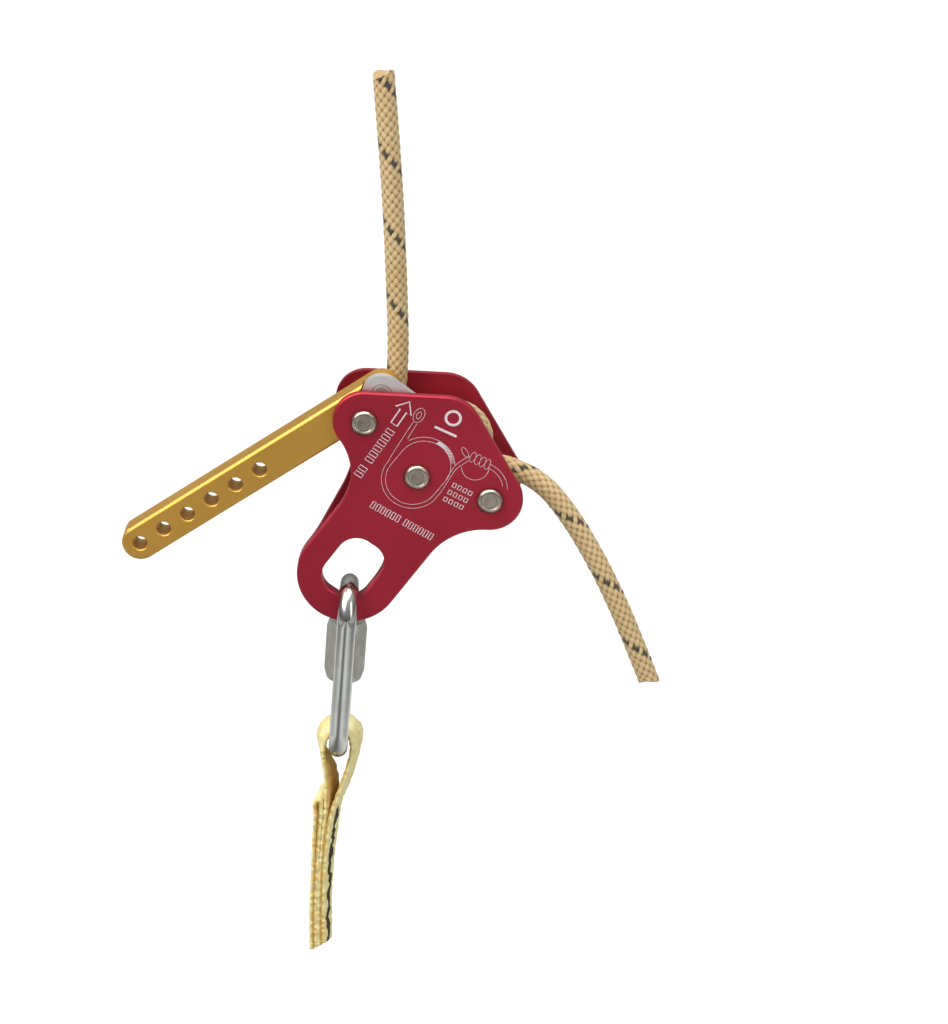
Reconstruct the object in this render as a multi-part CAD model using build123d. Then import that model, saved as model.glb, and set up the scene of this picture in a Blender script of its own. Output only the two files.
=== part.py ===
from build123d import *
import os
from math import acos, atan2, cos, hypot, pi, radians, sin, tan

# Rope descender: two side plates riveted round a rope bobbin that is also a cam, a handle that
# turns the cam, the rope itself, and the quick link and tape sling that hang from the plates.
# Millimetres. Origin on the cam axle, midway between the side plates. +Z runs up towards the
# anchor, +X to the right and -Y towards the user, who sees the front plate.

# Side plates
PLATE = 2.5                      # sheet thickness
GAP = 20.5                       # free width between the plates above the waist
FRONT_OUT = -GAP / 2 - PLATE     # outer face of the front plate
FRONT_IN = -GAP / 2
BACK_IN = GAP / 2
BACK_OUT = GAP / 2 + PLATE
LAP = 0.1                        # air between the two plates where they lie together
PLATE_EDGE = 0.5                 # chamfer on the plates' visible edges

# Places in the plates' plane, as (x, z)
AXLE = (0.0, 0.0)
POST = (-18.6, 20.8)             # upper-left rivet, the handle's post
TAIL_RIVET = (26.1, -9.2)        # lower-right rivet, under the rope's tail
CROWN = (9.6, 16.4)              # upper-right corner of the plates
EYE = (-25.2, -38.8)             # lower lobe, round the attachment slot
PIN = (-12.4, 30.2)              # handle pivot, on the cam arm

# Lobe radii and the hollow flanks between them
POST_LOBE = 11.2
CROWN_LOBE = 14.0
TAIL_LOBE = 11.9
EYE_LOBE = 18.9
LEFT_HOLLOW = 21.5
RIGHT_HOLLOW = 24.0
STEM = (0.6, 0.8)                # direction of the lower body, up towards the axle
ACROSS = (0.8, -0.6)             # across the lower body, to the lower right

# Attachment slot: a round-cornered oblong along the stem
SLOT_WIDTH = 18.1
SLOT_LENGTH = 23.9
SLOT_CORNER = 7.5
SLOT_CENTRE = (-23.6, -36.3)

# Joggle of the back plate, measured along the stem from the axle
JOGGLE_TOP = -18.5
JOGGLE_FOOT = -39.9
JOGGLE_BENDS = (6.0, 10.0)

# Rivets
NECK_R = 2.5
HEAD_R = 4.9
HEAD_HIGH = 1.6
HEAD_CORNER = 1.0
DISH_R = 3.4
DISH_DEEP = 0.25
HOLE_PLAY = 0.05
POST_R = 3.0
AXLE_R = 4.0
SLEEVE_R = 5.5

# Cam: bobbin, arm and bush
BOBBIN_HUB = 9.3                 # round end, concentric with the axle
BOBBIN_NOSE = (10.9, 6.7)        # centre of the nose that presses on the rope
BOBBIN_NOSE_R = 8.2
ARM_FRONT = -9.75
ARM_BACK = -6.45
BOBBIN_BACK = 9.75
ARM_HUB = 11.5
ARM_NOSE = 10.9
ARM_EYE = 7.0
BUSH_WALL = 1.2
RUNNING = 0.05                   # radial play of a pin in its bush
DOWEL_R = 1.25
DOWELS = ((-6.3, -3.6), (11.4, 7.0))
CAM_TRAVEL = 6.0                 # degrees, release direction
HANDLE_RATIO = 1.0               # handle's turn on its pin for each degree of the cam

# Handle
BAR_WIDTH = 13.2
BAR_FRONT = -9.8
BAR_BACK = 0.2
TONGUE_FRONT = -6.1
BAR_PITCH = 10.6
BAR_HOLES = 6
FIRST_HOLE = 52.6                # from the pin to the nearest hole
HOLE_R = 2.65
BAR_TILT = 33.1                  # degrees below the horizontal, to the left
BAR_EDGE = 0.8
HOLE_EDGE = 0.3
POST_PLAY = 0.45
LAP_PLAY = 0.5
PIN_R = 2.5
PIN_HEAD_R = 3.8
PIN_HEAD = 1.4
HANDLE_BUSH_R = 3.3

# Quick link, drawn upright below its pivot and then leaned over
ROD_R = 3.5
LINK_PIVOT = (-25.1, -10.2, -44.15)
BOW_R = 10.5                     # rod centre line at the bows
LEG = 45.0                       # straight length of each leg
GATE = (-73.5, -65.5)            # open stretch of the rear leg
NUT_FLATS = 13.0
NUT_SPAN = (-86.5, -62.5)
NUT_PLAY = 0.06
NUT_EDGE = 1.6
LEAN = 4.7                       # degrees, foot towards -X

# Tape sling, as a side view in (x, z)
TAPE_WIDTH = 13.0
LOOP_TOP = (-30.1, -106.5)       # centre of the round top of the loop
LOOP_OUT = 7.6
LOOP_IN = 5.0
STACK_TOP_LEFT = (-41.6, -130.0)
STACK_TOP_RIGHT = (-33.4, -134.0)
STACK_FOOT_LEFT = (-43.5, -199.0)
STACK_FOOT_RIGHT = (-35.0, -199.0)
LOOP_TIP = (-35.8, -130.5)

# Rope: diameter and the corners of its route, from the anchor's end to the tail's end
ROPE_D = 7.5
ROPE_ROUTE = [
    (-10.6, 5.7, 142.0),
    (-8.2, 5.7, 106.0),
    (-7.0, 5.7, 68.0),
    (-6.5, 5.7, 34.0),
    (-10.7, 5.7, 12.5),
    (-14.7, 5.7, -2.5),
    (-8.1, 5.7, -12.5),
    (3.6, 5.7, -14.5),
    (14.2, 5.7, -6.9),
    (22.6, 5.6, -0.2),
    (24.1, 5.0, 10.6),
    (18.2, 3.2, 19.1),
    (7.9, 1.0, 21.1),
    (-2.6, -1.0, 14.9),
    (-12.1, -1.9, 8.4),
    (-14.5, -1.9, -3.0),
    (-7.9, -1.9, -12.5),
    (3.7, -1.9, -14.4),
    (13.6, -1.9, -7.3),
    (22.0, -1.9, -0.2),
    (29.6, -1.9, 0.9),
    (44.5, -1.9, -5.8),
    (55.0, -2.5, -19.0),
    (65.3, -3.5, -37.0),
    (73.4, -4.5, -54.3),
    (80.0, -5.5, -70.5),
    (85.5, -6.0, -84.9),
]


def polar(centre, radius, angle):
    return (centre[0] + radius * cos(angle), centre[1] + radius * sin(angle))


def angle_of(centre, point):
    return atan2(point[1] - centre[1], point[0] - centre[0])


def turned(point, degrees, centre=AXLE):
    """The point turned counter-clockwise, as seen from the front."""
    reach = hypot(point[0] - centre[0], point[1] - centre[1])
    return polar(centre, reach, angle_of(centre, point) + radians(degrees))


def arc_about(centre, start, end, turn):
    """Arc from start to end: turn is 1 for counter-clockwise, -1 for clockwise."""
    first = angle_of(centre, start)
    sweep = (turn * (angle_of(centre, end) - first)) % (2 * pi)
    radius = hypot(start[0] - centre[0], start[1] - centre[1])
    return ThreePointArc(start, polar(centre, radius, first + turn * sweep / 2), end)


def outer_tangent(centre_a, radius_a, centre_b, radius_b):
    """Touching points of the straight line that keeps both circles on its right."""
    span = hypot(centre_b[0] - centre_a[0], centre_b[1] - centre_a[1])
    normal = angle_of(centre_a, centre_b) + acos((radius_a - radius_b) / span)
    return polar(centre_a, radius_a, normal), polar(centre_b, radius_b, normal)


def flank(lobe, lobe_r, hollow_r, side):
    """Hollow arc from a lobe to the stem's straight side: its centre and its two ends."""
    out = (ACROSS[0] * side, ACROSS[1] * side)
    side_at = out[0] * EYE[0] + out[1] * EYE[1] + EYE_LOBE
    lobe_out = out[0] * lobe[0] + out[1] * lobe[1]
    lobe_up = STEM[0] * lobe[0] + STEM[1] * lobe[1]
    centre_out = side_at + hollow_r
    drop = ((lobe_r + hollow_r) ** 2 - (centre_out - lobe_out) ** 2) ** 0.5
    centre_up = lobe_up - drop
    centre = (
        out[0] * centre_out + STEM[0] * centre_up,
        out[1] * centre_out + STEM[1] * centre_up,
    )
    on_lobe = polar(lobe, lobe_r, angle_of(lobe, centre))
    on_side = (centre[0] - out[0] * hollow_r, centre[1] - out[1] * hollow_r)
    return centre, on_lobe, on_side


def plate_outline():
    """Outline shared by both side plates, clockwise from the post's lobe."""
    post_top, crown_start = outer_tangent(POST, POST_LOBE, CROWN, CROWN_LOBE)
    crown_end, tail_start = outer_tangent(CROWN, CROWN_LOBE, TAIL_RIVET, TAIL_LOBE)
    right_centre, tail_end, right_side = flank(TAIL_RIVET, TAIL_LOBE, RIGHT_HOLLOW, 1)
    left_centre, post_end, left_side = flank(POST, POST_LOBE, LEFT_HOLLOW, -1)
    eye_right = (EYE[0] + ACROSS[0] * EYE_LOBE, EYE[1] + ACROSS[1] * EYE_LOBE)
    eye_left = (EYE[0] - ACROSS[0] * EYE_LOBE, EYE[1] - ACROSS[1] * EYE_LOBE)
    return [
        Line(post_top, crown_start),
        arc_about(CROWN, crown_start, crown_end, -1),
        Line(crown_end, tail_start),
        arc_about(TAIL_RIVET, tail_start, tail_end, -1),
        arc_about(right_centre, tail_end, right_side, 1),
        Line(right_side, eye_right),
        arc_about(EYE, eye_right, eye_left, -1),
        Line(eye_left, left_side),
        arc_about(left_centre, left_side, post_end, 1),
        arc_about(POST, post_end, post_top, -1),
    ]


def face_from(edges):
    return make_face(Wire(edges))


def hull_face(circles):
    """Face round a chain of circles ((x, z), radius), given clockwise."""
    edges = []
    joints = []
    for index, (centre, radius) in enumerate(circles):
        after, after_r = circles[(index + 1) % len(circles)]
        joints.append(outer_tangent(centre, radius, after, after_r))
    for index, (centre, _) in enumerate(circles):
        edges.append(arc_about(centre, joints[index - 1][1], joints[index][0], -1))
        edges.append(Line(*joints[index]))
    return face_from(edges)


def slab(face, front, back):
    """Solid of a face drawn in (x, z), from y = front to y = back."""
    plane = Plane(origin=(0, back, 0), x_dir=(1, 0, 0), z_dir=(0, -1, 0))
    return extrude(plane * face, amount=back - front)


def rod(place, radius, front, back):
    """Round bar along Y at (x, z)."""
    return slab(Pos(*place) * Circle(radius), front, back)


def ring(place, inner, outer, front, back):
    return slab(Pos(*place) * (Circle(outer) - Circle(inner)), front, back)


def stem_angle():
    return atan2(STEM[1], STEM[0]) * 180 / pi


def slot_cutter():
    shape = RectangleRounded(SLOT_LENGTH, SLOT_WIDTH, SLOT_CORNER)
    return slab(Pos(*SLOT_CENTRE) * Rot(0, 0, stem_angle()) * shape, FRONT_OUT - 5, BACK_OUT + 5)


def rivet_holes():
    return [rod(place, NECK_R + HOLE_PLAY, -20, 20) for place in (AXLE, POST, TAIL_RIVET)]


def front_plate():
    plate = slab(face_from(plate_outline()), FRONT_OUT, FRONT_IN) - slot_cutter()
    rim = plate.faces().sort_by(Axis.Y)[0].edges()
    plate = chamfer(rim, PLATE_EDGE)
    return plate - rivet_holes()


def back_plate():
    """The outline's prism cut from a joggled sheet, so its edge stays in line with the front."""
    sheet_plane = Plane(origin=(0, 0, 0), x_dir=(STEM[0], 0, STEM[1]), z_dir=(-ACROSS[0], 0, -ACROSS[1]))
    high = BACK_IN + PLATE / 2
    low = FRONT_IN + LAP + PLATE / 2
    middle = FilletPolyline(
        (70, high), (JOGGLE_TOP, high), (JOGGLE_FOOT, low), (-90, low),
        radius=list(JOGGLE_BENDS),
    )
    sheet = extrude(sheet_plane * trace(middle, line_width=PLATE), amount=80, both=True)
    plate = slab(face_from(plate_outline()), FRONT_IN, BACK_OUT) & sheet
    plate = plate - slot_cutter()
    return plate - rivet_holes()


def turned_piece(place, outline):
    """Solid of revolution about the Y line through a place. Outline is [(radius, y), ...]."""
    half = make_face(Polyline(*[(r, y, 0) for r, y in outline], close=True))
    return Pos(place[0], 0, place[1]) * revolve(half, Axis.Y)


def head_outline(face, out):
    """Half of a domed, dished head standing on a plate's face."""
    top = face + out * HEAD_HIGH
    shoulder = face + out * (HEAD_HIGH - HEAD_CORNER)
    bevel = HEAD_CORNER * 0.3
    return [
        (HEAD_R, face),
        (HEAD_R, shoulder),
        (HEAD_R - bevel, top - out * bevel),
        (HEAD_R - HEAD_CORNER, top),
        (DISH_R, top),
        (DISH_R - DISH_DEEP, top - out * DISH_DEEP),
        (0, top - out * DISH_DEEP),
    ]


def rivet(place, waist):
    """Shouldered rivet: two heads, two necks in the plates and a waist between the plates."""
    front = head_outline(FRONT_OUT, -1)[::-1]
    back = head_outline(BACK_OUT, 1)
    middle = [(NECK_R, FRONT_OUT), (NECK_R, BACK_OUT)]
    if waist > NECK_R:
        middle[1:1] = [(NECK_R, FRONT_IN), (waist, FRONT_IN), (waist, BACK_IN), (NECK_R, BACK_IN)]
    return turned_piece(place, front + middle + back)


def friction_sleeve():
    return ring(TAIL_RIVET, NECK_R + HOLE_PLAY, SLEEVE_R, FRONT_IN, BACK_IN)


def thrust_washer(front, back):
    return ring(AXLE, AXLE_R + RUNNING, AXLE_R + 3.5, front, back)


def bobbin():
    shape = hull_face([(BOBBIN_NOSE, BOBBIN_NOSE_R), (AXLE, BOBBIN_HUB)])
    block = slab(shape, ARM_BACK, BOBBIN_BACK)
    block -= rod(AXLE, AXLE_R + RUNNING + BUSH_WALL, -20, 20)
    for place in DOWELS:
        block -= rod(place, DOWEL_R, ARM_BACK - 1, ARM_BACK + 6)
    return block


def arm_outline():
    """Arm plate: round the pin, over the nose and round the hub, relieved where the post passes."""
    shape = hull_face([(PIN, ARM_EYE), (BOBBIN_NOSE, ARM_NOSE), (AXLE, ARM_HUB)])
    post_end = turned(POST, -CAM_TRAVEL)
    relief_r = POST_R + POST_PLAY
    outside = (POST[0] - 8, POST[1] - 4)
    relief = hull_face([(post_end, relief_r), (POST, relief_r), (outside, relief_r)])
    return shape - relief


def cam_arm():
    plate = slab(arm_outline(), ARM_FRONT, ARM_BACK)
    plate -= rod(AXLE, AXLE_R + RUNNING + BUSH_WALL, -20, 20)
    plate -= rod(PIN, PIN_R, -20, 20)
    plate -= rod(PIN, PIN_HEAD_R, ARM_FRONT - 1, ARM_FRONT + PIN_HEAD)
    for place in DOWELS:
        plate -= rod(place, DOWEL_R, -20, 20)
    return plate


def cam_bush():
    return ring(AXLE, AXLE_R + RUNNING, AXLE_R + RUNNING + BUSH_WALL, ARM_FRONT, BOBBIN_BACK)


def cam_dowels():
    return Compound([rod(place, DOWEL_R, ARM_FRONT, ARM_BACK + 6) for place in DOWELS])


def handle_pin():
    return turned_piece(PIN, [
        (0, ARM_FRONT + 0.2),
        (PIN_HEAD_R - 0.9, ARM_FRONT),
        (PIN_HEAD_R - 0.3, ARM_FRONT + 0.2),
        (PIN_HEAD_R, ARM_FRONT + 0.6),
        (PIN_HEAD_R, ARM_FRONT + PIN_HEAD),
        (PIN_R, ARM_FRONT + PIN_HEAD),
        (PIN_R, BAR_BACK + 0.3),
        (PIN_HEAD_R, BAR_BACK + 0.3),
        (PIN_HEAD_R, BAR_BACK + 0.9),
        (PIN_HEAD_R - 0.7, BAR_BACK + 1.3),
        (0, BAR_BACK + 1.3),
    ])


def along_bar(distance):
    return polar(PIN, distance, pi + radians(BAR_TILT))


def hole_places():
    return [along_bar(FIRST_HOLE + BAR_PITCH * index) for index in range(BAR_HOLES)]


def post_in_handle(cam_degrees):
    """Where the post stands, in the handle's own frame, when the cam has turned so far."""
    pin_now = turned(PIN, cam_degrees)
    offset = (POST[0] - pin_now[0], POST[1] - pin_now[1])
    place = (PIN[0] + offset[0], PIN[1] + offset[1])
    return turned(place, -cam_degrees * (1 + HANDLE_RATIO), PIN)


def handle_bar():
    tip = along_bar(FIRST_HOLE + BAR_PITCH * (BAR_HOLES - 1))
    half = BAR_WIDTH / 2
    bar = slab(hull_face([(tip, half), (PIN, half)]), BAR_FRONT, BAR_BACK)
    long_rims = bar.faces().sort_by(Axis.Y)[0].edges() + bar.faces().sort_by(Axis.Y)[-1].edges()
    bar = chamfer(long_rims, BAR_EDGE)
    lap = slab(Pos(*PIN) * Circle(ARM_EYE + LAP_PLAY), BAR_FRONT - 1, TONGUE_FRONT)
    bar -= lap
    for part_turn in (0.0, 0.5, 1.0):
        shape = offset(arm_outline(), LAP_PLAY)
        away = Pos(*PIN) * Rot(0, 0, -part_turn * CAM_TRAVEL * HANDLE_RATIO) * Pos(-PIN[0], -PIN[1])
        bar -= slab(away * shape, BAR_FRONT - 1, TONGUE_FRONT)
    deep = post_in_handle(CAM_TRAVEL)
    mouth = (2 * POST[0] - deep[0] - 3.0, 2 * POST[1] - deep[1] - 5.0)
    notch_r = POST_R + POST_PLAY
    bar -= slab(hull_face([(deep, notch_r), (mouth, notch_r)]), -20, 20)
    bar -= rod(PIN, HANDLE_BUSH_R, -20, 20)
    for place in hole_places():
        bar -= rod(place, HOLE_R, -20, 20)
        for face, out in ((BAR_FRONT, -1), (BAR_BACK, 1)):
            flare = [(0, face), (HOLE_R + HOLE_EDGE, face), (HOLE_R, face - out * HOLE_EDGE)]
            flare.append((0, face - out * HOLE_EDGE))
            bar -= turned_piece(place, flare)
    return bar


def handle_bush():
    return ring(PIN, PIN_R + RUNNING, HANDLE_BUSH_R, TONGUE_FRONT, BAR_BACK)


def handle_washer():
    return ring(PIN, PIN_R + RUNNING, ARM_EYE - 1.5, ARM_BACK, TONGUE_FRONT - 0.05)


def lean_over(piece):
    pivot = Pos(*LINK_PIVOT)
    return pivot * Rot(0, LEAN, 0) * Pos(*[-value for value in LINK_PIVOT]) * piece


def link_rod():
    """Open oval of round rod: it starts above the gate of the rear leg and ends below it."""
    x, middle, top = LINK_PIVOT
    rear = middle + BOW_R
    front = middle - BOW_R
    upper = top - BOW_R
    lower = upper - LEG
    path = Wire([
        Line((x, rear, GATE[1]), (x, rear, upper)),
        ThreePointArc((x, rear, upper), (x, middle, top), (x, front, upper)),
        Line((x, front, upper), (x, front, lower)),
        ThreePointArc((x, front, lower), (x, middle, lower - BOW_R), (x, rear, lower)),
        Line((x, rear, lower), (x, rear, GATE[0])),
    ])
    section = Plane(origin=(x, rear, GATE[1]), z_dir=(0, 0, 1)) * Circle(ROD_R)
    return lean_over(sweep(section, path=path))


def link_nut():
    x, middle, _ = LINK_PIVOT
    span = NUT_SPAN[1] - NUT_SPAN[0]
    corner_r = NUT_FLATS / 2 / cos(pi / 6)
    body = extrude(RegularPolygon(corner_r, 6, rotation=0), amount=span)
    ends = extrude(Circle(corner_r), amount=span)
    ends = chamfer(ends.edges(), length=NUT_EDGE * 2, length2=NUT_EDGE * 0.6)
    body = body & ends
    body -= extrude(Circle(ROD_R + NUT_PLAY), amount=span)
    return lean_over(Pos(x, middle + BOW_R, NUT_SPAN[0]) * body)


def sling():
    """Tape sling as one closed body: a loop over the link's bow and a flat stack below it."""
    stack = face_from([
        Line(STACK_TOP_LEFT, STACK_FOOT_LEFT),
        Line(STACK_FOOT_LEFT, STACK_FOOT_RIGHT),
        Line(STACK_FOOT_RIGHT, STACK_TOP_RIGHT),
        Line(STACK_TOP_RIGHT, STACK_TOP_LEFT),
    ])
    gather = ((STACK_TOP_LEFT[0] + STACK_TOP_RIGHT[0]) / 2 + 0.3, STACK_TOP_RIGHT[1] + 1.0)
    outer = hull_face([(LOOP_TOP, LOOP_OUT), (gather, 3.7)])
    inner = hull_face([(LOOP_TOP, LOOP_IN), (LOOP_TIP, 0.6)])
    y = LINK_PIVOT[1]
    return slab(outer + stack - inner, y - TAPE_WIDTH / 2, y + TAPE_WIDTH / 2)


def route_radii(points):
    """The largest tangent arc at each corner that leaves a little of both runs straight."""
    radii = []
    for before, here, after in zip(points, points[1:], points[2:]):
        arriving = Vector(*here) - Vector(*before)
        leaving = Vector(*after) - Vector(*here)
        turn = radians(arriving.get_angle(leaving))
        radii.append(0.45 * min(arriving.length, leaving.length) / tan(turn / 2))
    return radii


def rope():
    radii = route_radii(ROPE_ROUTE)
    path = FilletPolyline(*ROPE_ROUTE, radius=radii)
    start = Vector(*ROPE_ROUTE[1]) - Vector(*ROPE_ROUTE[0])
    section = Plane(origin=ROPE_ROUTE[0], z_dir=start) * Circle(ROPE_D / 2)
    tube = sweep(section, path=path)
    expected = pi * ROPE_D ** 2 / 4 * path.length
    print("rope length %.1f, radii %s" % (path.length, " ".join("%.1f" % r for r in radii)))
    print("rope volume %.0f, section times length %.0f" % (tube.volume, expected))
    return tube


def build_parts():
    return {
        "front_plate": front_plate(),
        "back_plate": back_plate(),
        "handle_post": rivet(POST, POST_R),
        "cam_axle": rivet(AXLE, AXLE_R),
        "tail_rivet": rivet(TAIL_RIVET, NECK_R),
        "friction_sleeve": friction_sleeve(),
        "front_thrust_washer": thrust_washer(FRONT_IN, ARM_FRONT - 0.1),
        "rear_thrust_washer": thrust_washer(BOBBIN_BACK + 0.1, BACK_IN),
        "cam_bobbin": bobbin(),
        "cam_arm": cam_arm(),
        "cam_bush": cam_bush(),
        "cam_dowels": cam_dowels(),
        "handle_pin": handle_pin(),
        "handle_bar": handle_bar(),
        "handle_bush": handle_bush(),
        "handle_washer": handle_washer(),
        "link_rod": link_rod(),
        "link_nut": link_nut(),
        "sling": sling(),
        "rope": rope(),
    }


os.makedirs("parts", exist_ok=True)
for name, piece in build_parts().items():
    piece.label = name
    export_step(piece, "parts/" + name + ".step")
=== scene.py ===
from math import atan2, cos, degrees, pi, radians, sin

import bmesh
import bpy
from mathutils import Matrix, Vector, noise


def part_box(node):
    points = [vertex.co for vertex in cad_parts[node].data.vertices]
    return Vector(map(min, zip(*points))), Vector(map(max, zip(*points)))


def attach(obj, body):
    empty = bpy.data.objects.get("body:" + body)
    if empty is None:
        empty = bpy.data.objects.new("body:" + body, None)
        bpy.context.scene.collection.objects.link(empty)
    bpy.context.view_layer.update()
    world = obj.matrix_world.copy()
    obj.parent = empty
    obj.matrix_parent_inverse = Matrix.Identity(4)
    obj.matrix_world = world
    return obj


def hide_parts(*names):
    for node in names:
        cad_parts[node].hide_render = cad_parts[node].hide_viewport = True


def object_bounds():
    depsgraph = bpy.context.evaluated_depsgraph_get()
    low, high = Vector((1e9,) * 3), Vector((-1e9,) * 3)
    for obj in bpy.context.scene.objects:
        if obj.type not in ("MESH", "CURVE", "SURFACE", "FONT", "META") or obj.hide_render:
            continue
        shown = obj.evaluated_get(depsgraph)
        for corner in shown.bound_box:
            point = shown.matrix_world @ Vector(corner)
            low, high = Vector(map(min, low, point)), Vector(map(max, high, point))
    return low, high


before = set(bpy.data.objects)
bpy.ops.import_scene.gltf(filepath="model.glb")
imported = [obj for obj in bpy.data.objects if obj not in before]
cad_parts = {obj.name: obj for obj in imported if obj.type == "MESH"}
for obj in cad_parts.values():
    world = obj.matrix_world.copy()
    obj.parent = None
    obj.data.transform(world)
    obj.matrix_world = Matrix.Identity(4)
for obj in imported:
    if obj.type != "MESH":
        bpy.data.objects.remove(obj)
cad_low, cad_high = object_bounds()

# Metres throughout, in the descender's own frame: -Y is towards the user. The parts that are
# drawn or woven from lists of millimetres say so, and multiply by MM.
MM = 0.001
WHITE = (1, 1, 1, 1)

# Camera: in front of the object and above it, looking down at it
CAMERA_AT = (0.02035, -0.86254, 0.35572)
CAMERA_TO = (0.02035, -0.01884, -0.01113)
LENS = 90.6
SENSOR = 36.0

# Light that falls on the object. What the camera itself sees behind the object is plain white.
ROOM_LOW = 0.10                  # strength of the room's light near the horizon
ROOM_HIGH = 0.62                 # and overhead
FLOOR_DARK = 0.0                 # strength of the light from the floor's dark bands
FLOOR_LIGHT = 0.80               # and from its light bands
FLOOR_GREY = (0.16, 0.16, 0.16, 1)
FLOOR_DROP = 0.30                # from the object's lowest point down to the floor
FLOOR_HALF = 4.0
LAMPS = [                        # name, place, aim, width and height, watts
    ("key", (-0.75, -0.48, 0.86), (0, 0, 0), (0.95, 0.95), 12),
    ("fill", (0.9, -0.7, 0.35), (0, 0, -0.03), (0.35, 0.9), 2.6),
    ("top", (0.10, -0.12, 1.1), (0, 0, 0), (0.9, 0.6), 6.8),
]

# Finishes of the CAD parts: darkest colour, lightest colour, roughness
RED = (0.38, 0.017, 0.034), (0.48, 0.025, 0.047), 0.44
GOLD = (0.64, 0.350, 0.055), (0.75, 0.420, 0.075), 0.43
SILVER = (0.66, 0.64, 0.62), (0.82, 0.80, 0.78), 0.42
BRONZE = (0.32, 0.20, 0.09), (0.50, 0.33, 0.16), 0.4
RIVET_STEEL = (0.40, 0.345, 0.285), (0.53, 0.46, 0.375), 0.26
PIN_STEEL = (0.46, 0.42, 0.38), (0.60, 0.55, 0.50), 0.5
BRIGHT_PLATING = (0.50, 0.51, 0.48), (0.60, 0.61, 0.57), 0.18
DULL_PLATING = (0.44, 0.44, 0.39), (0.54, 0.54, 0.49), 0.48

# How far the CAD parts' sharp edges are rounded
PLATE_EDGE = 0.22 * MM
BAR_EDGE = 0.15 * MM
CAM_EDGE = 0.25 * MM
LINK_EDGE = 0.3 * MM

# Relief of a rivet's head: a shallow dish inside a rim that falls away to the edge
HEAD_PROFILE = [                 # share of the head's radius, share of the relief's height
    (0.0, 0.90), (0.50, 0.87), (0.57, 0.93), (0.66, 0.90), (0.84, 0.55), (1.0, 0.0),
]
HEAD_RELIEF = 0.9 * MM

# Rope: the same route as its CAD tube, and its braid
ROPE_ROUTE_MM = [
    (-10.6, 5.7, 142.0),
    (-8.2, 5.7, 106.0),
    (-7.0, 5.7, 68.0),
    (-6.5, 5.7, 34.0),
    (-10.7, 5.7, 12.5),
    (-14.7, 5.7, -2.5),
    (-8.1, 5.7, -12.5),
    (3.6, 5.7, -14.5),
    (14.2, 5.7, -6.9),
    (22.6, 5.6, -0.2),
    (24.1, 5.0, 10.6),
    (18.2, 3.2, 19.1),
    (7.9, 1.0, 21.1),
    (-2.6, -1.0, 14.9),
    (-12.1, -1.9, 8.4),
    (-14.5, -1.9, -3.0),
    (-7.9, -1.9, -12.5),
    (3.7, -1.9, -14.4),
    (13.6, -1.9, -7.3),
    (22.0, -1.9, -0.2),
    (29.6, -1.9, 0.9),
    (44.5, -1.9, -5.8),
    (55.0, -2.5, -19.0),
    (65.3, -3.5, -37.0),
    (73.4, -4.5, -54.3),
    (80.0, -5.5, -70.5),
    (85.5, -6.0, -84.9),
]
STRANDS = 8                      # strands each way round
DARK_STRAND = 3                  # which of the left-hand strands is dark
BRAID_TURNS = [                  # distance along the rope, turns that a strand has made by there
    (0.0, 0.11), (150 * MM, 5.588), (300 * MM, 10.685), (420 * MM, 14.88),
]
CROWN_R = 3.95 * MM              # to the crowns, which stand proud of the nominal size
BRAID_DEPTH = 0.62 * MM          # from the crown of a strand to the bottom of a gap
STRAND_HALF = 0.47               # half a strand's width, where 0.5 leaves no gap
STRAND_POWER = 2.3               # shape of a strand's section, where 2 is a parabola
STRAND_BODY = 0.74               # share of the height that the section makes
STRAND_LIFT = 0.26               # share that passing over or under makes
GROOVE_DEPTH = 0.20              # the parting between a strand's two yarns
GROOVE_HALF = 0.11
RING_STEP = 0.42 * MM
RING_POINTS = 96
END_DEPTH = 5.0 * MM             # how far the S of a cut end runs along the rope

# The rope's cut ends: lengths in millimetres, scales of noise per metre
CUT_LEAN = 0.75                  # how far the cut leans, and how far it curls in an S
CUT_CURL = 0.8
CAP_RINGS = 5                    # steps from the rope's skin to the middle of the cut face
CAP_SHARE = 0.94                 # the cut face's radius as a share of the rope's
TUFT_SCALE = 2600                # the core's tufts, and how far its middle stands out
TUFT_HIGH = 0.25
DOME_HIGH = 0.5
TIP_HIGH = 0.6
CORE_RELIEF = 0.45               # relief of the core's fibres, how far and how finely it varies
CORE_VARIES = 0.3
CORE_SCALE = 5200

# Sling: lengths in millimetres, scales of noise per millimetre
TAPE_Y = -10.2                   # middle of the tape
TAPE_WIDTH = 12.6
LOOP_THICK = 2.0
FOLD_THICK = 1.95
TAPE_STEP = 0.45
TAPE_COLUMNS = 20
CURVE_STEPS = 40                 # steps from one station of the tape to the next
PICK_LENGTH = 2.1                # the ribs' length along the tape, and how many lie across it
RIBS_ACROSS = 9
RIB_HIGH = 0.10
KNUCKLE_LENGTH = 4.4             # the slow waves of the tape's thickness and of its edges
KNUCKLE_HIGH = 0.09
KNUCKLE_SLANT = 5                # how far the waves lag across the tape, in radians
KNUCKLE_OFFSET = 0.9             # and between the tape's two faces
DRIFT_SCALE = 0.13               # slow drift of the waves along the tape, and how far it goes
DRIFT_BY_X = 0.3
DRIFT_FAR = 5.0
LUMP_SCALE = 0.7                 # uneven lumps along and across the tape
LUMP_ACROSS = 8
LUMP_HIGH = 0.28
EDGE_WAVE = 0.28                 # scallops of the edges, slow and fast
EDGE_RIPPLE = 0.08
RIPPLE_LENGTH = 1.47
EDGE_FLAT = 0.42                 # how far from the middle the tape starts to thin, as a share
EDGE_RUN = 0.08
EDGE_THIN = 0.45
SAG = 3.4                        # how far the loop's top hollows over the bow
SAG_AT = (-30.2, 5.0, -104.5)    # x of its middle, half its length, height that it starts from
FOOT_Z = -189.0                  # the foot's S-shaped cut starts here
FOOT_RUN = 6.0
FOOT_SLANT = 5.0
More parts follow.
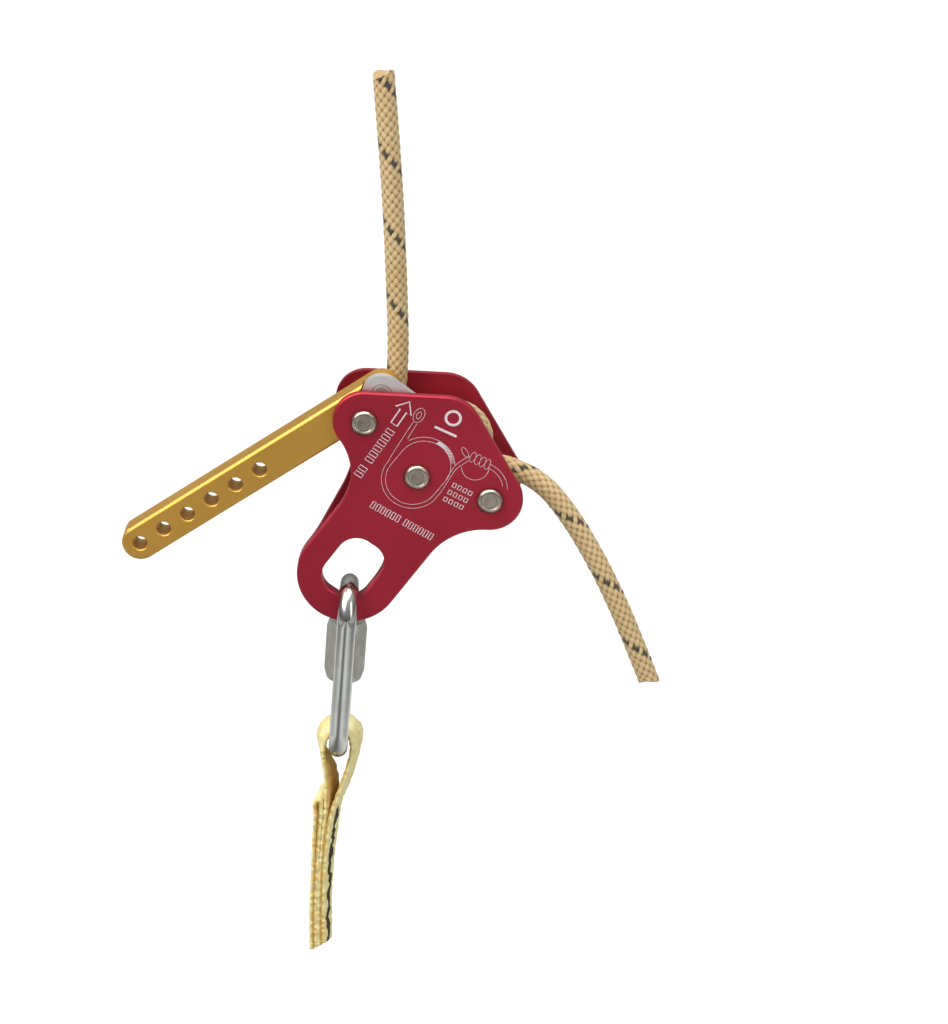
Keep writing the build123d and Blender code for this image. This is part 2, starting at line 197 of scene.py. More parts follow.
FOOT_CURL = 1.3
FOOT_LEFT = -42.5                # x where the foot's curl starts, and half its length
FOOT_HALF_WAVE = 5.0
LEAD_TOP = -135.0                # the dark thread shows below this height
NOWHERE = -999.0                 # lower than the sling goes
LOOP_TAPE = [                    # x of the front edge, z, how far the rear edge stands to the right
    (-39.5, -195.0, 1.6), (-39.2, -178.0, 1.8), (-38.2, -161.0, 2.4), (-37.1, -149.0, 3.0),
    (-35.7, -137.0, 3.1), (-35.2, -129.0, 3.6), (-35.2, -121.0, 2.4), (-35.7, -115.0, 0.0),
    (-35.8, -109.5, -2.4), (-34.6, -104.4, -2.4), (-32.2, -101.2, -1.0), (-29.6, -100.4, 0.5),
    (-26.9, -101.9, 1.8), (-25.4, -105.5, 3.0), (-25.5, -110.5, 3.1), (-26.7, -116.0, 3.1),
    (-28.6, -122.0, 3.4), (-31.2, -129.5, 3.6), (-33.7, -137.0, 3.1), (-35.7, -149.0, 3.3),
    (-36.9, -161.0, 2.8), (-37.7, -178.0, 2.3), (-38.0, -195.0, 2.1),
]
FOLDED_TAPE = [
    (-42.4, -195.0, 1.1), (-42.0, -178.0, 1.4), (-41.0, -161.0, 2.1), (-40.5, -149.0, 3.0),
    (-39.7, -138.0, 3.0), (-39.9, -133.4, 2.6), (-39.1, -131.0, 2.4), (-37.9, -131.2, 2.4),
    (-37.5, -134.0, 2.6), (-37.7, -138.0, 3.0), (-38.7, -149.0, 3.0), (-39.6, -161.0, 2.2),
    (-40.6, -178.0, 1.5), (-40.95, -195.0, 1.3),
]

# Markings on the front plate, as (x, z) in millimetres
INK_HIGH = 0.03 * MM
INK_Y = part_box("front_plate")[0][1] - INK_HIGH / 2
THIN = 0.13                      # widths of the lines
THICK = 0.48
BOX_LINE = 0.30
BADGE_LINE = 0.9
RING_HIGH = (2.5, 4.1)           # the two centres of the coil, and the radii of its two lines
RING_LOW = (-1.7, -1.2)
RING_OUT = 11.1
RING_IN = 9.6
TAIL_UNDER = [(18.6, 6.3), (16.4, 4.8), (14.5, 3.4), (13.4, 2.2), (11.1, -1.7), (8.3, -6.3)]
TAIL_OVER = [(10.1, -1.7), (11.5, 1.0), (13.4, 4.0), (14.5, 5.2), (16.6, 6.7), (18.8, 7.8)]
STEM_LEFT = [(-7.1, 11.5), (-1.1, 21.1)]
STEM_RIGHT = [(-3.3, 14.5), (0.1, 20.3)]
EYE = (0.9, 23.5)
EYE_TILT = 62
EYE_RADII = ((2.9, 1.85), (1.45, 0.75))
HATCHES = 16                     # the coil's shaded stretch, from thick lines to thin ones
HATCH_START = 61
HATCH_STEP = 3.5
HATCH_LEAN = 0.06
HATCH_WIDTH = 0.60
HATCH_THINNER = 0.031
FINGERS = 4
FINGER_AT = (20.0, 7.5)
FINGER_STEP = (1.72, -0.92)
FINGER_RADII = (2.0, 0.95)
FINGER_TILT = 66
THUMB_AT = (17.2, 9.4)
THUMB_RADII = (2.1, 0.9)
THUMB_TILT = 118
PALM_AT = (20.8, 3.6)
PALM_R = 4.9
ROPE_END_AT = (21.5, -5.0)
ROPE_END_ARCS = ((10.8, 66, 0), (9.2, 62, 7))
ARROW_TIP = (-2.4, 28.6)
ARROW_DIRECTION = (0.55, 0.835)
ARROW_SHAPE = [                  # along the arrow from its tip, and to its side
    (0, 0), (-4.1, 3.3), (-4.1, 1.3), (-10.2, 1.3), (-10.2, -1.3), (-4.1, -1.3), (-4.1, -3.3),
]
BOX_ROWS = [                     # first centre, direction, boxes per group, pitch, height, width
    ((-20.8, 1.0), (0.572, 0.820), (2, 6), 2.60, 3.0, 1.5),
    ((-15.9, -11.0), (0.856, -0.517), (6, 6), 2.07, 2.7, 1.15),
    ((13.3, -3.4), (0.880, -0.476), (4,), 2.15, 1.6, 1.2),
    ((11.7, -6.1), (0.880, -0.476), (4,), 2.15, 1.6, 1.2),
    ((10.1, -8.8), (0.880, -0.476), (4,), 2.15, 1.6, 1.2),
]
BOX_GAP = 0.6                    # space between groups, as a share of the pitch
BADGE = (13.0, 22.4)
BADGE_R = 2.6
BADGE_BAR = ((6.4, 19.2), (14.2, 15.4))


# ---------------------------------------------------------------- shader nodes

def shader(name):
    """A new material, its node tree and its Principled shader."""
    material = bpy.data.materials.new(name)
    material.use_nodes = True
    tree = material.node_tree
    return material, tree, tree.nodes["Principled BSDF"]


def node(tree, kind, inputs=None, **settings):
    """A new node, each of its inputs set to a value or linked to another node's output."""
    made = tree.nodes.new("ShaderNode" + kind)
    for key, value in settings.items():
        setattr(made, key, value)
    for key, value in (inputs or {}).items():
        if isinstance(value, bpy.types.NodeSocket):
            tree.links.new(value, made.inputs[key])
        else:
            made.inputs[key].default_value = value
    return made


def place(tree):
    return node(tree, "TexCoord").outputs["Object"]


def attribute(tree, name):
    return node(tree, "Attribute", attribute_name=name).outputs["Fac"]


def calc(tree, operation, *values):
    return node(tree, "Math", dict(enumerate(values)), operation=operation).outputs[0]


def cloud(tree, where, scale, detail):
    """Noise in space, 0 to 1."""
    return node(tree, "TexNoise", {"Vector": where, "Scale": scale, "Detail": detail}).outputs["Fac"]


def wander(tree, along, scale, detail):
    """Noise along one value, 0 to 1."""
    return node(tree, "TexNoise", {"W": along, "Scale": scale, "Detail": detail},
                noise_dimensions="1D").outputs["Fac"]


def mapped(tree, value, source, target):
    """A value carried from one range to another."""
    return node(tree, "MapRange", {"Value": value, "From Min": source[0], "From Max": source[1],
                                   "To Min": target[0], "To Max": target[1]}).outputs[0]


def mixed(tree, factor, a, b, blend="MIX"):
    return node(tree, "Mix", {"Factor": factor, "A": a, "B": b}, data_type="RGBA",
                blend_type=blend).outputs["Result"]


def ramp(tree, factor, stops):
    """Colour ramp from a list of (position, colour)."""
    made = node(tree, "ValToRGB", {"Fac": factor})
    elements = made.color_ramp.elements
    while len(elements) < len(stops):
        elements.new(0.5)
    for element, (position, colour) in zip(elements, stops):
        element.position = position
        element.color = (*colour, 1)
    return made.outputs["Color"]


def bump(tree, bsdf, height, strength, distance, below=None):
    inputs = {"Height": height, "Strength": strength, "Distance": distance}
    if below is not None:
        inputs["Normal"] = below
    made = node(tree, "Bump", inputs)
    tree.links.new(made.outputs["Normal"], bsdf.inputs["Normal"])
    return made.outputs["Normal"]


# ---------------------------------------------------------------- metal finishes

def blasted(name, dark, light, rough, metallic, grain=9000, coat=0.0):
    """Bead-blasted or anodised metal: fine grain, slow colour drift, satin gloss."""
    material, tree, bsdf = shader(name)
    where = place(tree)
    drift = cloud(tree, where, scale=28.0, detail=3.0)
    fine = cloud(tree, where, scale=grain, detail=2.0)
    half = calc(tree, "MULTIPLY", calc(tree, "ADD", drift, fine), 0.5)
    tree.links.new(ramp(tree, half, [(0.36, dark), (0.64, light)]), bsdf.inputs["Base Color"])
    sheen = mapped(tree, half, source=(0.3, 0.7), target=(rough - 0.05, rough + 0.05))
    tree.links.new(sheen, bsdf.inputs["Roughness"])
    bsdf.inputs["Metallic"].default_value = metallic
    bsdf.inputs["Coat Weight"].default_value = coat
    bsdf.inputs["Coat Roughness"].default_value = 0.28
    bump(tree, bsdf, fine, strength=0.35, distance=0.012 * MM)
    return material


def turned_metal(name, dark, light, rough, centre, radius):
    """Lathe-turned metal round a Y axis through centre: fine rings and a dished head."""
    material, tree, bsdf = shader(name)
    where = place(tree)
    shifted = node(tree, "VectorMath", {0: where, 1: centre}, operation="SUBTRACT").outputs[0]
    flat = node(tree, "VectorMath", {0: shifted, 1: (1, 0, 1)}, operation="MULTIPLY").outputs[0]
    reach = node(tree, "VectorMath", {0: flat}, operation="LENGTH").outputs["Value"]
    rings = wander(tree, reach, scale=1800.0, detail=3.0)
    share = calc(tree, "DIVIDE", reach, radius)
    head = ramp(tree, share, [(position, (height,) * 3) for position, height in HEAD_PROFILE])
    stain = cloud(tree, where, scale=190.0, detail=3.0)
    tree.links.new(ramp(tree, stain, [(0.2, dark), (0.8, light)]), bsdf.inputs["Base Color"])
    bsdf.inputs["Metallic"].default_value = 1.0
    bsdf.inputs["Roughness"].default_value = rough
    bsdf.inputs["Anisotropic"].default_value = 0.5
    sweep = node(tree, "Tangent", direction_type="RADIAL", axis="Y")
    tree.links.new(sweep.outputs[0], bsdf.inputs["Tangent"])
    dished = bump(tree, bsdf, head, strength=1.0, distance=HEAD_RELIEF)
    bump(tree, bsdf, rings, strength=0.6, distance=0.03 * MM, below=dished)
    return material


def plated(name, dark, light, rough):
    """Zinc-plated steel: soft drifts of colour and faint wear marks."""
    material, tree, bsdf = shader(name)
    where = place(tree)
    stain = cloud(tree, where, scale=160.0, detail=5.0)
    drawn_out = node(tree, "Mapping", {"Vector": where, "Scale": (900, 900, 60)}).outputs[0]
    scratch = cloud(tree, drawn_out, scale=1.0, detail=3.0)
    tree.links.new(ramp(tree, stain, [(0.3, dark), (0.7, light)]), bsdf.inputs["Base Color"])
    wear = mapped(tree, scratch, source=(0.35, 0.65), target=(rough - 0.06, rough + 0.08))
    tree.links.new(wear, bsdf.inputs["Roughness"])
    bsdf.inputs["Metallic"].default_value = 1.0
    bump(tree, bsdf, scratch, strength=0.15, distance=0.02 * MM)
    return material


def ink():
    """Pale laser-marked lines, slightly mottled."""
    material, tree, bsdf = shader("marking")
    speck = cloud(tree, place(tree), scale=3500.0, detail=2.0)
    colour = ramp(tree, speck, [(0.3, (0.62, 0.50, 0.52)), (0.6, (0.88, 0.84, 0.85))])
    tree.links.new(colour, bsdf.inputs["Base Color"])
    bsdf.inputs["Roughness"].default_value = 0.65
    return material


def paint(name, material):
    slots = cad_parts[name].data.materials
    slots.clear()
    slots.append(material)


def soften(name, width):
    """Rounds a CAD part's sharp edges a little."""
    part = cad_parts[name]
    bevel = part.modifiers.new("edge", "BEVEL")
    bevel.width = width
    bevel.segments = 3
    bevel.limit_method = "ANGLE"
    bevel.angle_limit = radians(28)
    bevel.harden_normals = False


def finish_plates():
    red = blasted("red_anodised", *RED, metallic=0.60, coat=0.04)
    for name in ("front_plate", "back_plate"):
        paint(name, red)
        soften(name, PLATE_EDGE)


def finish_handle():
    paint("handle_bar", blasted("gold_anodised", *GOLD, metallic=0.68, coat=0.12))
    soften("handle_bar", BAR_EDGE)


def finish_cam():
    silver = blasted("raw_aluminium", *SILVER, metallic=0.65, grain=4200)
    for name in ("cam_arm", "cam_bobbin"):
        paint(name, silver)
        soften(name, CAM_EDGE)
    bronze = blasted("bronze", *BRONZE, metallic=1.0)
    for name in ("cam_bush", "handle_bush", "handle_washer", "front_thrust_washer",
                 "rear_thrust_washer"):
        paint(name, bronze)


def finish_rivets():
    for name in ("handle_post", "cam_axle", "tail_rivet", "friction_sleeve", "cam_dowels"):
        low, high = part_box(name)
        centre = tuple((a + b) / 2 for a, b in zip(low, high))
        radius = (high[0] - low[0]) / 2
        paint(name, turned_metal("steel_" + name, *RIVET_STEEL, centre, radius))
    paint("handle_pin", blasted("pin_steel", *PIN_STEEL, metallic=0.7))


def finish_link():
    paint("link_rod", plated("plated_steel", *BRIGHT_PLATING))
    paint("link_nut", plated("dull_plated_steel", *DULL_PLATING))
    soften("link_nut", LINK_EDGE)
    soften("link_rod", LINK_EDGE)


# ---------------------------------------------------------------- new pieces

def new_piece(name, mesh, body, material):
    piece = bpy.data.objects.new(name, mesh)
    bpy.context.scene.collection.objects.link(piece)
    mesh.materials.append(material)
    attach(piece, body)
    return piece


def mesh_from(name, points, faces, smooth=True):
    mesh = bpy.data.meshes.new(name)
    mesh.from_pydata(points, [], faces)
    mesh.update()
    mesh.polygons.foreach_set("use_smooth", [smooth] * len(mesh.polygons))
    return mesh


def mark_points(mesh, marks):
    """Stores a value per point under each name, for the materials to read."""
    for name, values in marks.items():
        layer = mesh.attributes.new(name, "FLOAT", "POINT")
        layer.data.foreach_set("value", values)


# ---------------------------------------------------------------- rope

def route_line(name, points_mm):
    """The smooth centre line of a route: points read from its NURBS spline."""
    curve = bpy.data.curves.new(name, "CURVE")
    curve.dimensions = "3D"
    spline = curve.splines.new("NURBS")
    spline.points.add(len(points_mm) - 1)
    for point, place_mm in zip(spline.points, points_mm):
        point.co = (*[value * MM for value in place_mm], 1)
    spline.order_u = 3
    spline.use_endpoint_u = True
    spline.resolution_u = 24
    holder = bpy.data.objects.new(name, curve)
    bpy.context.scene.collection.objects.link(holder)
    bpy.context.view_layer.update()
    graph = bpy.context.evaluated_depsgraph_get()
    line = bpy.data.meshes.new_from_object(holder.evaluated_get(graph), depsgraph=graph)
    points = [vertex.co.copy() for vertex in line.vertices]
    bpy.data.objects.remove(holder)
    bpy.data.curves.remove(curve)
    bpy.data.meshes.remove(line)
    return points


def even_steps(points, step):
    """Points evenly spaced along a line, with the distance between them near step."""
    lengths = [0.0]
    for a, b in zip(points, points[1:]):
        lengths.append(lengths[-1] + (b - a).length)
    count = max(2, round(lengths[-1] / step))
    spaced, index = [], 0
    for number in range(count + 1):
        target = lengths[-1] * number / count
        while index < len(points) - 2 and lengths[index + 1] < target:
            index += 1
        span = lengths[index + 1] - lengths[index]
        share = (target - lengths[index]) / span if span else 0.0
        spaced.append(points[index].lerp(points[index + 1], share))
    return spaced, lengths[-1]


def carried_axes(points):
    """The direction along a line at each point, and two across it, carried on without twist."""
    axes = []
    side = Vector((1, 0, 0))
    for index in range(len(points)):
        before = points[max(index - 1, 0)]
        after = points[min(index + 1, len(points) - 1)]
        along = (after - before).normalized()
        side = (side - along * side.dot(along)).normalized()
        axes.append((along, side, along.cross(side)))
    return axes


def smooth_step(value):
    value = min(1.0, max(0.0, value))
    return value * value * (3 - 2 * value)


def strand_turns(along):
    """Turns that a strand has made round the rope by a distance along it."""
    for (start, first), (end, last) in zip(BRAID_TURNS, BRAID_TURNS[1:]):
        if along <= end:
            break
    return first + (last - first) * (along - start) / (end - start)


def braid_height(angle, along):
    """Height of the braid's surface, 0 to 1, and whether the dark strand shows, at a place."""
    turn = strand_turns(along) * 2 * pi
    spacing = 2 * pi / STRANDS
    left = (angle + turn) / spacing
    right = (angle - turn) / spacing
    left_cell, right_cell = int(left // 1), int(right // 1)
    u = left - left_cell - 0.5
    v = right - right_cell - 0.5
    over = 1 if (left_cell + right_cell) % 2 == 0 else -1
    heights = []
    for across, length, lift in ((u, v, over), (v, u, -over)):
        body = max(0.0, 1 - abs(across / STRAND_HALF) ** STRAND_POWER)
        groove = GROOVE_DEPTH * max(0.0, 1 - abs(across) / GROOVE_HALF)
        heights.append(STRAND_BODY * body + STRAND_LIFT * lift * cos(pi * length) - groove)
    dark = heights[0] > heights[1] and left_cell % STRANDS == DARK_STRAND
    return max(0.0, *heights), dark


def cut_wave(angle, away):
    """How far a cut end's S-shaped edge stands out along the rope, fading with the way from it."""
    fade = smooth_step(1 - away / END_DEPTH)
    return fade * (CUT_LEAN * cos(angle) + CUT_CURL * sin(2 * angle)) * MM


def ring_directions(side, up):
    """The angle and the outward direction of each point of a ring round the rope."""
    for index in range(RING_POINTS):
        angle = 2 * pi * index / RING_POINTS
        yield angle, side * cos(angle) + up * sin(angle)


def make_rope():
    line = route_line("rope_route", ROPE_ROUTE_MM)
    points, length = even_steps(line, RING_STEP)
    axes = carried_axes(points)
    step = length / (len(points) - 1)
    vertices = []
    marks = {"tracer": [], "relief": []}
    for ring, (point, (along, side, up)) in enumerate(zip(points, axes)):
        distance = ring * step
        for angle, out in ring_directions(side, up):
            height, dark = braid_height(angle, distance)
            wave = cut_wave(angle, length - distance) - cut_wave(angle, distance)
            radius = CROWN_R - BRAID_DEPTH * (1 - height)
            vertices.append(point + out * radius + along * wave)
            marks["tracer"].append(1.0 if dark else 0.0)
            marks["relief"].append(height)
    faces = []
    for ring in range(len(points) - 1):
        a = ring * RING_POINTS
        b = a + RING_POINTS
        for index in range(RING_POINTS):
            following = (index + 1) % RING_POINTS
            faces.append((a + index, a + following, b + following, b + index))
    for end, sign in ((0, -1), (len(points) - 1, 1)):
        close_end(vertices, faces, marks, points[end], axes[end], end, sign)
    mesh = mesh_from("rope_braid", vertices, faces)
    mark_points(mesh, marks)
    piece = new_piece("rope_braid", mesh, "frame", rope_material())
    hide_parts("rope")


def close_end(vertices, faces, marks, centre, axes, ring, sign):
    """A cut end: rings that shrink to the middle, with the tufted core standing out a little."""
    along, side, up = axes
    previous = [ring * RING_POINTS + index for index in range(RING_POINTS)]
    for number in range(1, CAP_RINGS):
        share = 1 - number / CAP_RINGS
        current = []
        for angle, out in ring_directions(side, up):
            spot = centre + out * (CROWN_R * share * CAP_SHARE)
            tuft = noise.noise(spot * TUFT_SCALE) * TUFT_HIGH * MM + (1 - share) * DOME_HIGH * MM
            wave = cut_wave(angle, 0.0) * share
            vertices.append(spot + along * sign * (tuft + wave))
            marks["tracer"].append(0.0)
            marks["relief"].append(CORE_RELIEF + CORE_VARIES * noise.noise(spot * CORE_SCALE))
            current.append(len(vertices) - 1)
        for index in range(RING_POINTS):
            following = (index + 1) % RING_POINTS
            quad = (previous[index], current[index], current[following], previous[following])
            faces.append(quad if sign < 0 else quad[::-1])
        previous = current
    vertices.append(centre + along * sign * TIP_HIGH * MM)
    marks["tracer"].append(0.0)
    marks["relief"].append(0.5)
    for index in range(RING_POINTS):
        following = (index + 1) % RING_POINTS
        fan = (previous[index], len(vertices) - 1, previous[following])
        faces.append(fan if sign < 0 else fan[::-1])


def rope_material():
    """Tan yarn with painted shade darkening it into the gaps, with the dark strand where the braid's
    mark says so.
    """
    material, tree, bsdf = shader("rope_sheath")
    where = place(tree)
    relief = attribute(tree, "relief")
    fibre = cloud(tree, where, scale=5200.0, detail=3.0)
    soiling = cloud(tree, where, scale=60.0, detail=2.0)
    # Painted shade: the yarn's colour darkens from the crowns of the strands down into the gaps
    # between them
    tan_and_gap_shade = ramp(tree, relief, [(0.05, (0.16, 0.095, 0.035)), (0.40, (0.44, 0.30, 0.13)),
                              (0.75, (0.66, 0.48, 0.245)), (0.98, (0.76, 0.59, 0.33))])
    tint = ramp(tree, soiling, [(0.35, (0.94, 0.90, 0.84)), (0.65, (1.0, 1.0, 1.0))])
    soiled_with_gap_shade = mixed(tree, 1.0, tan_and_gap_shade, tint, "MULTIPLY")
    # Painted shade on the dark strand too: it darkens towards the gaps between strands
    dark = ramp(tree, relief, [(0.3, (0.012, 0.010, 0.009)), (0.95, (0.085, 0.070, 0.056))])
    sheath = mixed(tree, attribute(tree, "tracer"), soiled_with_gap_shade, dark)
    tree.links.new(sheath, bsdf.inputs["Base Color"])
    bsdf.inputs["Roughness"].default_value = 0.82
    bsdf.inputs["Sheen Weight"].default_value = 0.25
    bsdf.inputs["Sheen Roughness"].default_value = 0.5
    bump(tree, bsdf, fibre, strength=0.5, distance=0.06 * MM)
    return material


# ---------------------------------------------------------------- sling

def smooth_path(stations, step):
    """Even stations along a Catmull-Rom curve through (x, z, rear shift) values in millimetres."""
    dense = []
    for index in range(len(stations) - 1):
        p0 = Vector(stations[max(index - 1, 0)])
        p1 = Vector(stations[index])
        p2 = Vector(stations[index + 1])
        p3 = Vector(stations[min(index + 2, len(stations) - 1)])
        for number in range(CURVE_STEPS):
            t = number / CURVE_STEPS
            dense.append(0.5 * (2 * p1 + (p2 - p0) * t + (2 * p0 - 5 * p1 + 4 * p2 - p3) * t * t
                                + (3 * p1 - p0 - 3 * p2 + p3) * t ** 3))
    dense.append(Vector(stations[-1]))
    spaced, _ = even_steps(dense, step)
    return spaced


def ripple(distance, length):
    return sin(2 * pi * distance / length)


def tape_half(distance, drift, v, side, thickness):
    """Half the tape's thickness at a place: v goes from -0.5 to 0.5 across it."""
    lag = distance / PICK_LENGTH
    rib = sin(2 * pi * (lag + v * RIBS_ACROSS)) * sin(2 * pi * (lag - v * RIBS_ACROSS))
    edge = 1 - smooth_step((abs(v) - EDGE_FLAT) / EDGE_RUN) * EDGE_THIN
    knuckle = sin(2 * pi * drift / KNUCKLE_LENGTH + side * KNUCKLE_OFFSET + v * KNUCKLE_SLANT)
    half = thickness / 2 * edge + rib * RIB_HIGH + knuckle * KNUCKLE_HIGH
    return half + noise.noise(Vector((distance * LUMP_SCALE, v * LUMP_ACROSS, side))) * LUMP_HIGH


def foot_drop(z, x_front, v):
    """How far the foot's slanting, S-shaped cut pulls a point down."""
    share = smooth_step((FOOT_Z - z) / FOOT_RUN)
    curl = FOOT_CURL * cos(pi * (x_front - FOOT_LEFT) / FOOT_HALF_WAVE)
    return share * ((v + 0.5) * FOOT_SLANT + curl)


def loop_sag(x_front, z_front):
    """How far the loop's top hollows over the link's bow, at the middle of the tape."""
    x_middle, half_length, z_start = SAG_AT
    if z_front <= z_start:
        return 0.0
    return SAG * max(0.0, 1 - abs(x_front - x_middle) / half_length) ** 0.5


def tape_strip(vertices, faces, marks, stations, thickness, sags=False, lead_below=NOWHERE):
    """Adds one length of woven tape, a closed strip that follows its front edge's path."""
    path = smooth_path(stations, TAPE_STEP)
    base = len(vertices)
    columns = range(TAPE_COLUMNS + 1)
    ring_size = 2 * len(columns)
    for index, (x_front, z_front, rear_shift) in enumerate(path):
        before = path[max(index - 1, 0)]
        after = path[min(index + 1, len(path) - 1)]
        along = Vector((after[0] - before[0], after[1] - before[1])).normalized()
        normal = Vector((-along[1], along[0]))
        distance = index * TAPE_STEP
        slow = noise.noise(Vector((distance * DRIFT_SCALE, x_front * DRIFT_BY_X, 2.0)))
        drift = distance + slow * DRIFT_FAR
        scallop = (ripple(drift, KNUCKLE_LENGTH) * EDGE_WAVE
                   + ripple(distance, RIPPLE_LENGTH) * EDGE_RIPPLE)
        sag = loop_sag(x_front, z_front) if sags else 0.0
        for side in (1, -1):
            for column in columns[::side]:
                v = column / TAPE_COLUMNS - 0.5
                half = tape_half(distance, drift, v, side, thickness)
                x = x_front + rear_shift * (v + 0.5) + normal[0] * half * side
                z = z_front + normal[1] * half * side - sag * (1 - (2 * v) ** 2)
                y = TAPE_Y + v * (TAPE_WIDTH + 2 * scallop * (1 if v < 0 else -1))
                z -= foot_drop(z, x_front, v)
                vertices.append(Vector((x, y, z)) * MM)
                marks["across"].append(v)
                marks["along"].append(distance * MM)
                marks["outside"].append(float(side))
                marks["tracer"].append(1.0 if z < lead_below else 0.0)
    last = base + (len(path) - 1) * ring_size
    for a in range(base, last, ring_size):
        b = a + ring_size
        for corner in range(ring_size):
            following = (corner + 1) % ring_size
            faces.append((a + corner, b + corner, b + following, a + following))
    for start, flip in ((base, False), (last, True)):
        for column in range(TAPE_COLUMNS):
            quad = (start + column, start + column + 1,
                    start + ring_size - 2 - column, start + ring_size - 1 - column)
            faces.append(quad[::-1] if flip else quad)


def make_sling():
    vertices, faces = [], []
    marks = {"across": [], "along": [], "outside": [], "tracer": []}
    tape_strip(vertices, faces, marks, LOOP_TAPE, LOOP_THICK, sags=True, lead_below=LEAD_TOP)
    tape_strip(vertices, faces, marks, FOLDED_TAPE, FOLD_THICK)
    mesh = mesh_from("sling_tape", vertices, faces)
    mark_points(mesh, marks)
    piece = new_piece("sling_tape", mesh, "sling", sling_material())
    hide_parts("sling")


def sling_material():
    """Pale yellow weave with painted shade browning the inner faces of the loop, with a wandering
    dark thread outside it.
    """
    material, tree, bsdf = shader("sling_tape")
    where = place(tree)
    across, along = attribute(tree, "across"), attribute(tree, "along")
    yarn = node(tree, "CombineXYZ", {"X": calc(tree, "MULTIPLY", across, 17.0),
                                     "Y": calc(tree, "MULTIPLY", along, 900.0)}).outputs[0]
    weave = node(tree, "TexWave", {"Vector": yarn, "Scale": 1.0, "Distortion": 1.6,
                                   "Detail": 2.0, "Detail Scale": 1.5}).outputs["Fac"]
    relief = calc(tree, "MULTIPLY", weave, cloud(tree, where, scale=2600.0, detail=4.0))
    shade = cloud(tree, where, scale=260.0, detail=3.0)
    outer = ramp(tree, shade, [(0.30, (0.90, 0.73, 0.28)), (0.50, (0.96, 0.84, 0.41)),
                               (0.70, (0.98, 0.91, 0.54))])
    # Painted shade: the tape's inner faces are darkened to brown where the loop would be in shade
    inner_painted_shade = mixed(tree, 1.0, outer, (0.80, 0.64, 0.42, 1), "MULTIPLY")
    outside = calc(tree, "GREATER_THAN", attribute(tree, "outside"), 0.0)
    tape = mixed(tree, outside, inner_painted_shade, outer)
    sway = mapped(tree, wander(tree, along, scale=130.0, detail=0.5),
                  source=(0.3, 0.7), target=(-0.06, 0.18))
    width = mapped(tree, wander(tree, along, scale=240.0, detail=1.0),
                   source=(0.35, 0.65), target=(0.12, 0.26))
    away = calc(tree, "ABSOLUTE", calc(tree, "ADD", across, sway))
    thread = calc(tree, "MULTIPLY", calc(tree, "LESS_THAN", away, width), outside)
    thread = calc(tree, "MULTIPLY", thread, attribute(tree, "tracer"))
    coloured = mixed(tree, thread, tape, (0.052, 0.043, 0.022, 1))
    tree.links.new(coloured, bsdf.inputs["Base Color"])
    bsdf.inputs["Roughness"].default_value = 0.85
    bsdf.inputs["Specular IOR Level"].default_value = 0.25
    bump(tree, bsdf, relief, strength=0.6, distance=0.15 * MM)
    return material


# ---------------------------------------------------------------- markings on the front plate

def ribbon(bm, points, width, closed=False):
    """A flat line on the front plate through (x, z) points in millimetres."""
    count = len(points)
    left, right = [], []
    for index, (x, z) in enumerate(points):
        before = points[index - 1] if index or closed else points[0]
        after = points[(index + 1) % count] if index < count - 1 or closed else points[-1]
        along = Vector((after[0] - before[0], after[1] - before[1])).normalized()
        side = Vector((-along[1], along[0])) * width / 2
        left.append(bm.verts.new(((x + side[0]) * MM, INK_Y, (z + side[1]) * MM)))
        right.append(bm.verts.new(((x - side[0]) * MM, INK_Y, (z - side[1]) * MM)))
    last = count if closed else count - 1
    for index in range(last):
        following = (index + 1) % count
        bm.faces.new((left[index], right[index], right[following], left[following]))


def arc(centre, radius, start, end, steps=24):
    """Points of a circle's arc in (x, z), angles in degrees."""
    points = []
    for number in range(steps + 1):
        angle = radians(start + (end - start) * number / steps)
        points.append((centre[0] + radius * cos(angle), centre[1] + radius * sin(angle)))
    return points


def stadium(low, high, radius):
    """Closed oblong round two centres."""
    axis = degrees(atan2(high[1] - low[1], high[0] - low[0]))
    return (arc(high, radius, axis - 90, axis + 90, 32) + arc(low, radius, axis + 90, axis + 270, 32))


def ellipse(centre, long_r, short_r, tilt, start=0, end=360, steps=32):
    """Points of an ellipse: a closed one leaves out the last, which is the first again."""
    points = []
    turn = radians(tilt)
    count = steps if end - start == 360 else steps + 1
    for number in range(count):
        angle = radians(start + (end - start) * number / steps)
        u, v = long_r * cos(angle), short_r * sin(angle)
        points.append((centre[0] + u * cos(turn) - v * sin(turn),
                       centre[1] + u * sin(turn) + v * cos(turn)))
    return points


def draw_rope_path(bm):
    """The rope's way round the cam: an oblong coil, its stem with an eye, and its tail."""
    ribbon(bm, TAIL_UNDER + arc(RING_LOW, RING_OUT, -46, -218, 40) + STEM_LEFT, THIN)
    ribbon(bm, arc(RING_HIGH, RING_OUT, 118, 2, 32), THIN)
    ribbon(bm, stadium(RING_LOW, RING_HIGH, RING_IN), THIN, closed=True)
    ribbon(bm, TAIL_OVER, THIN)
    ribbon(bm, STEM_RIGHT, THIN)
    for number in range(HATCHES):
        start = radians(HATCH_START - HATCH_STEP * number)
        ends = [(RING_HIGH[0] + radius * cos(start - lean), RING_HIGH[1] + radius * sin(start - lean))
                for radius, lean in ((RING_IN, 0.0), (RING_OUT, HATCH_LEAN))]
        ribbon(bm, ends, HATCH_WIDTH - HATCH_THINNER * number)
    for long_r, short_r in EYE_RADII:
        ribbon(bm, ellipse(EYE, long_r, short_r, EYE_TILT), THIN, closed=True)


